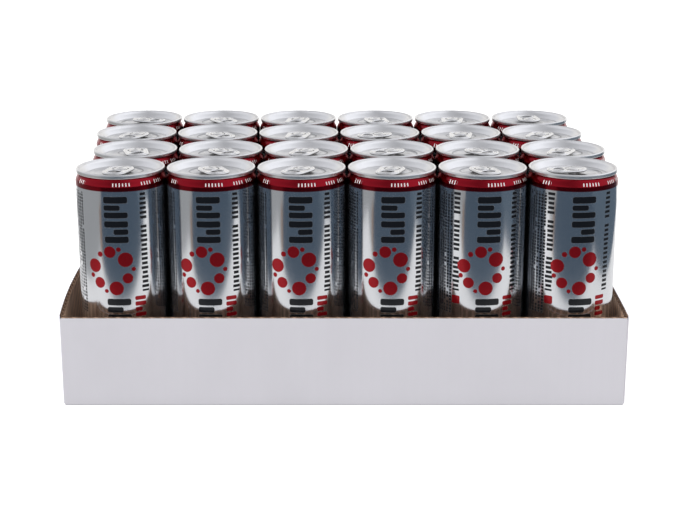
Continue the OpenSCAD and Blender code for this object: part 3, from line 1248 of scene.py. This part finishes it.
def flute_tree(material):
    """Geometry Nodes that turn a path into the wavy sheet of corrugated board that stands along it."""
    tree = bpy.data.node_groups.new("Board waves", "GeometryNodeTree")
    tree.interface.new_socket(name="Path", in_out="INPUT", socket_type="NodeSocketGeometry")
    for name in ("Pitch", "Wave height", "Sheet", "Height"):
        tree.interface.new_socket(name=name, in_out="INPUT", socket_type="NodeSocketFloat")
    tree.interface.new_socket(name="Geometry", in_out="OUTPUT", socket_type="NodeSocketGeometry")

    def node(kind, settings, inputs, output=0):
        """One output of a new node with its settings and its inputs."""
        made = tree.nodes.new(kind)
        for key, value in settings.items():
            setattr(made, key, value)
        for key, value in inputs.items():
            if isinstance(value, bpy.types.NodeSocket):
                tree.links.new(value, made.inputs[key])
            else:
                made.inputs[key].default_value = value
        return made.outputs[output]

    def maths(operation, first, second=0.0):
        """A Math node on one or two values."""
        return node("ShaderNodeMath", {"operation": operation}, {0: first, 1: second})

    given = tree.nodes.new("NodeGroupInput").outputs
    curve = node("GeometryNodeMeshToCurve", {}, {0: given["Path"]})
    step = maths("DIVIDE", given["Pitch"], 8.0)
    fine = node("GeometryNodeResampleCurve", {"mode": "LENGTH"}, {"Curve": curve, "Length": step})
    along = node("GeometryNodeSplineParameter", {}, {}, "Length")
    swing = maths("SINE", maths("MULTIPLY", maths("DIVIDE", along, given["Pitch"]), TAU))
    reach = maths("MULTIPLY", swing, maths("MULTIPLY", given["Wave height"], 0.5))
    ahead = node("GeometryNodeInputTangent", {}, {})
    aside = node("ShaderNodeVectorMath", {"operation": "CROSS_PRODUCT"}, {0: ahead, 1: (0.0, 0.0, 1.0)})
    offset = node("ShaderNodeVectorMath", {"operation": "SCALE"}, {0: aside, "Scale": reach})
    moved = node("GeometryNodeSetPosition", {}, {"Geometry": fine, "Offset": offset})
    upright = node("GeometryNodeSetCurveNormal", {"mode": "Z_UP"}, {0: moved})
    box = {"Width": given["Sheet"], "Height": given["Height"]}
    profile = node("GeometryNodeCurvePrimitiveQuadrilateral", {}, box)
    swept = {"Curve": upright, "Profile Curve": profile, "Fill Caps": True}
    body = node("GeometryNodeCurveToMesh", {}, swept)
    real = node("GeometryNodeRealizeInstances", {}, {0: body})
    coated = node("GeometryNodeSetMaterial", {}, {0: real, "Material": material})
    tree.links.new(coated, tree.nodes.new("NodeGroupOutput").inputs[0])
    return tree


def waves_along(name, path, height, material, tree, lean=None):
    """The wavy sheet along a path of points at mid height, as a piece of the tray."""
    tray = bpy.context.scene.pack_tray
    values = {
        "Pitch": tray.flute_pitch,
        "Wave height": tray.board - 2 * tray.liner - tray.medium,
        "Sheet": tray.medium,
        "Height": height * MM,
    }
    base = bpy.data.meshes.new(name + "_path")
    base.from_pydata([tuple(c * MM for c in p) for p in path], [(i, i + 1) for i in range(len(path) - 1)], [])
    holder = bpy.data.objects.new(name + "_path", base)
    bpy.context.scene.collection.objects.link(holder)
    modifier = holder.modifiers.new("Waves", "NODES")
    modifier.node_group = tree
    for item in tree.interface.items_tree:
        if item.item_type == "SOCKET" and item.in_out == "INPUT" and item.name in values:
            modifier[item.identifier] = values[item.name]
    mesh = bpy.data.meshes.new_from_object(holder.evaluated_get(bpy.context.evaluated_depsgraph_get()))
    holder.modifiers.clear()
    bpy.data.objects.remove(holder)
    bpy.data.meshes.remove(base)
    mesh.name = name
    if not len(mesh.polygons):
        raise RuntimeError(f"{name} came out empty")
    if lean is not None:
        for vertex in mesh.vertices:
            vertex.co.x += lean(vertex.co.y / MM, vertex.co.z / MM) * MM
    add_piece(name, mesh, [material], "tray")


# How far in millimetres the waves end short of a wall's ends and below its top
WAVES_SHORT, WAVES_LOW = 0.4, 0.15


class PACK_OT_tray_waves(bpy.types.Operator):
    """Build the wavy sheet between the liners of each wall"""

    bl_idname = "pack.tray_waves"
    bl_label = "Board waves"

    def execute(self, context):
        cut = finish_named("board_cut_edge", kraft_finish)
        plan = TrayPlan()
        tree = flute_tree(cut)
        foot = plan.fold
        height = plan.top - foot - WAVES_LOW
        level = foot + height / 2
        half = plan.board / 2
        for name, side in (("front", -1), ("back", 1)):
            y = (plan.front if side < 0 else plan.back) - side * half
            end = plan.strip + WAVES_SHORT
            xs = np.linspace(plan.left + end, plan.right - end, 40)
            waves_along(f"tray_{name}_waves", [(x, y, level) for x in xs], height, cut, tree)
        for name, side in (("left", -1), ("right", 1)):
            ys = np.linspace(plan.side_front + plan.fold, plan.side_back - plan.fold, 60)
            path = [(plan.side_x(side, y, plan.top) - side * half, y, level) for y in ys]

            def lean(y, z, side=side):
                return plan.side_x(side, y, z) - plan.side_x(side, y, plan.top)

            waves_along(f"tray_{name}_waves", path, height, cut, tree, lean)
        return {"FINISHED"}


# ---------------------------------------------------------------- stage


# Brightness of the reflected ceiling: (metres to the right of the middle, brightness)
CEILING_STOPS = [
    (-6.0, 0.95),
    (-3.0, 0.88),
    (-1.8, 0.72),
    (-0.6, 0.47),
    (0.0, 0.56),
    (0.6, 0.72),
    (1.8, 1.1),
    (3.0, 1.2),
]
# Colour of the reflected ceiling, and half its width in halves of the room
CEILING_TINT, CEILING_REACH = (0.94, 0.97, 1.05), 3.5
# Colours of the reflected cards
CARD_TINTS = {
    "steel": (0.070, 0.098, 0.135),
    "steel_light": (0.105, 0.142, 0.185),
    "pale": (0.34, 0.35, 0.36),
    "tan": (0.26, 0.18, 0.135),
    "table": (0.86, 0.86, 0.87),
}
# Softboxes in metres: where each stands, what it looks at and its size
SOFTBOXES = {
    "key": ((-1.2, -0.45, 0.9), (0.1, 0.0, 0.05), (0.6, 0.6)),
    "fill": ((1.3, -1.0, 0.6), (0.0, 0.0, 0.03), (0.8, 0.8)),
    "top": ((0.2, 0.3, 1.4), (0.0, 0.0, 0.0), (1.4, 1.0)),
}


def graded_glow(name, stops, half_wide):
    """A glowing material, graded along X by (x in metres, brightness) within half_wide."""
    finish = Finish(name, {}, "ShaderNodeEmission")
    ramp = []
    for at, bright in stops:
        ramp.append(((at + half_wide) / (2 * half_wide), (*(c * bright for c in CEILING_TINT), 1.0)))
    share = finish.where("X").rise(-half_wide, half_wide)
    finish.surface(color=finish.make("ShaderNodeValToRGB", {"stops": ramp}, {0: share}))
    return finish.material


def stage_sheet(name, corners, material, seen_in_gloss_only):
    """A flat sheet of the stage, which isn't part of the pack."""
    mesh = bpy.data.meshes.new(name)
    mesh.from_pydata([tuple(c) for c in corners], [], [tuple(range(len(corners)))])
    mesh.materials.append(material)
    sheet = bpy.data.objects.new(name, mesh)
    bpy.context.scene.collection.objects.link(sheet)
    sheet.visible_diffuse = False
    if seen_in_gloss_only:
        sheet.visible_camera = False
        sheet.visible_shadow = False
        sheet.visible_transmission = False
    else:
        sheet.visible_glossy = False


def softbox(name, place, target, extent, power):
    """A rectangular area light that looks at target and isn't seen in gloss."""
    data = bpy.data.lights.new(name, "AREA")
    data.shape = "RECTANGLE"
    data.size, data.size_y = extent
    data.energy = power
    lamp = bpy.data.objects.new(name, data)
    lamp.location = place
    lamp.rotation_euler = (Vector(target) - Vector(place)).to_track_quat("-Z", "Y").to_euler()
    lamp.visible_glossy = False
    bpy.context.scene.collection.objects.link(lamp)


class PACK_OT_stage(bpy.types.Operator):
    """Build the floor, the reflected room, the lights and the camera"""

    bl_idname = "pack.stage"
    bl_label = "Stage"

    def execute(self, context):
        scene = context.scene
        stage = scene.pack_stage
        scene.view_settings.view_transform = "Standard"
        scene.view_settings.look = "None"

        inputs = {
            "Roughness": 0.9,
            "Specular IOR Level": 0.0,
            "Emission Color": (1.0, 1.0, 1.0),
            "Emission Strength": stage.floor_glow,
        }
        paint = Finish("stage_floor", inputs)
        mottle = paint.noise(paint.place(), 3.0, 2.0)
        paint.surface(base_color=paint.blend(mottle, (0.93, 0.93, 0.93), (0.95, 0.95, 0.95)))
        far = 8.0
        corners = [(-far, -far, 0), (far, -far, 0), (far, far, 0), (-far, far, 0)]
        stage_sheet("stage_floor", corners, paint.material, False)
        self.room(stage)

        world = bpy.data.worlds.new("studio")
        world.use_nodes = True
        sky = world.node_tree.nodes["Background"]
        sky.inputs["Color"].default_value = (1.0, 1.0, 1.0, 1.0)
        paths = world.node_tree.nodes.new("ShaderNodeLightPath")
        share = world.node_tree.nodes.new("ShaderNodeMath")
        share.operation = "MULTIPLY_ADD"
        share.inputs[1].default_value = stage.soft_light - stage.world_light
        share.inputs[2].default_value = stage.world_light
        world.node_tree.links.new(paths.outputs["Is Diffuse Ray"], share.inputs[0])
        world.node_tree.links.new(share.outputs[0], sky.inputs["Strength"])
        scene.world = world
        for name, (place, target, extent) in SOFTBOXES.items():
            softbox(f"{name}_softbox", place, target, extent, getattr(stage, f"{name}_power"))

        data = bpy.data.cameras.new("camera")
        data.lens = stage.lens
        data.sensor_width = stage.sensor
        data.clip_start, data.clip_end = 0.01, 50.0
        camera = bpy.data.objects.new("camera", data)
        camera.location = (stage.camera_aside, CAD_BOX[0].y - stage.camera_front, stage.camera_height)
        camera.rotation_euler = (math.pi / 2 - stage.camera_tilt, 0.0, 0.0)
        scene.collection.objects.link(camera)
        scene.camera = camera
        return {"FINISHED"}

    def room(self, stage):
        """The table top and the room round it, which only the metal reflects."""
        left, right = -stage.table_left, stage.table_right
        front, back = -stage.table_front, stage.table_back
        half, low, high, top = stage.room_half, -stage.room_drop, stage.wall_height, stage.ceiling
        wide = CEILING_REACH * half
        corner = Vector((left, front, low))
        out_front, out_left = (
            corner + half * 1.4 * Vector((-math.sin(a), -math.cos(a), 0.0))
            for a in (stage.strip_start, stage.strip_end)
        )
        lift = Vector((0.0, 0.0, 0.01))
        ring = [(-half, -half), (half, -half), (half, half), (-half, half), (-half, -half)]
        cards = {
            "table": ("table", (left, front, 0), (right, front, 0), (right, back, 0), (left, back, 0)),
            "room_front": ("steel", corner, out_left, (half, -half * 2, low), (half, front, low)),
            "room_right": (
                "steel_light",
                (right, front, low),
                (half, front, low),
                (half, half, low),
                (right, half, low),
            ),
            "room_left": ("pale", corner, (left, half, low), (-half * 2, half, low), out_left),
            "room_strip": ("tan", corner + lift, out_left + lift, out_front + lift),
        }
        for name, tint, (a, b) in (
            ("wall_front", "steel", ring[0:2]),
            ("wall_right", "steel_light", ring[1:3]),
            ("wall_left", "pale", ring[3:5]),
        ):
            cards[name] = (tint, (*a, low), (*b, low), (*b, high), (*a, high))
        glows = {
            name: Finish(f"stage_{name}", {"Color": tint}, "ShaderNodeEmission").material
            for name, tint in CARD_TINTS.items()
        }
        for name, (tint, *corners) in cards.items():
            stage_sheet(f"stage_{name}", corners, glows[tint], True)
        ceiling = [(-wide, -wide, top), (-wide, half, top), (wide, half, top), (wide, -wide, top)]
        stage_sheet("stage_ceiling", ceiling, graded_glow("stage_ceiling", CEILING_STOPS, wide), True)


class PACK_PT_panel(bpy.types.Panel):
    """Lists what the tray of cans is made of"""

    bl_idname = "PACK_PT_panel"
    bl_label = "Tray of Drink Cans"
    bl_space_type = "VIEW_3D"
    bl_region_type = "UI"
    bl_category = "Drink Tray"

    def draw(self, context):
        for maker in MAKERS:
            self.layout.operator(maker.bl_idname)
        for group, kind in GROUPS.items():
            box = self.layout.box()
            box.label(text=kind.__doc__)
            for name in kind.__annotations__:
                box.prop(getattr(context.scene, group), name)


MAKERS = (
    PACK_OT_can_bodies,
    PACK_OT_can_ends,
    PACK_OT_tabs,
    PACK_OT_tray_board,
    PACK_OT_tray_waves,
    PACK_OT_stage,
)
CLASSES = (*GROUPS.values(), *MAKERS, PACK_PT_panel)


def register():
    """Registers the classes and puts the property groups on the scene."""
    for kind in CLASSES:
        bpy.utils.register_class(kind)
    for name, kind in GROUPS.items():
        setattr(bpy.types.Scene, name, PointerProperty(type=kind))


def unregister():
    """Takes the property groups and the classes away again."""
    for name in GROUPS:
        delattr(bpy.types.Scene, name)
    for kind in reversed(CLASSES):
        bpy.utils.unregister_class(kind)


def main():
    """Builds every piece and the stage."""
    register()
    bpy.ops.pack.can_bodies()
    bpy.ops.pack.can_ends()
    bpy.ops.pack.tabs()
    bpy.ops.pack.tray_board()
    bpy.ops.pack.tray_waves()
    bpy.ops.pack.stage()


if __name__ == "__main__":
    main()
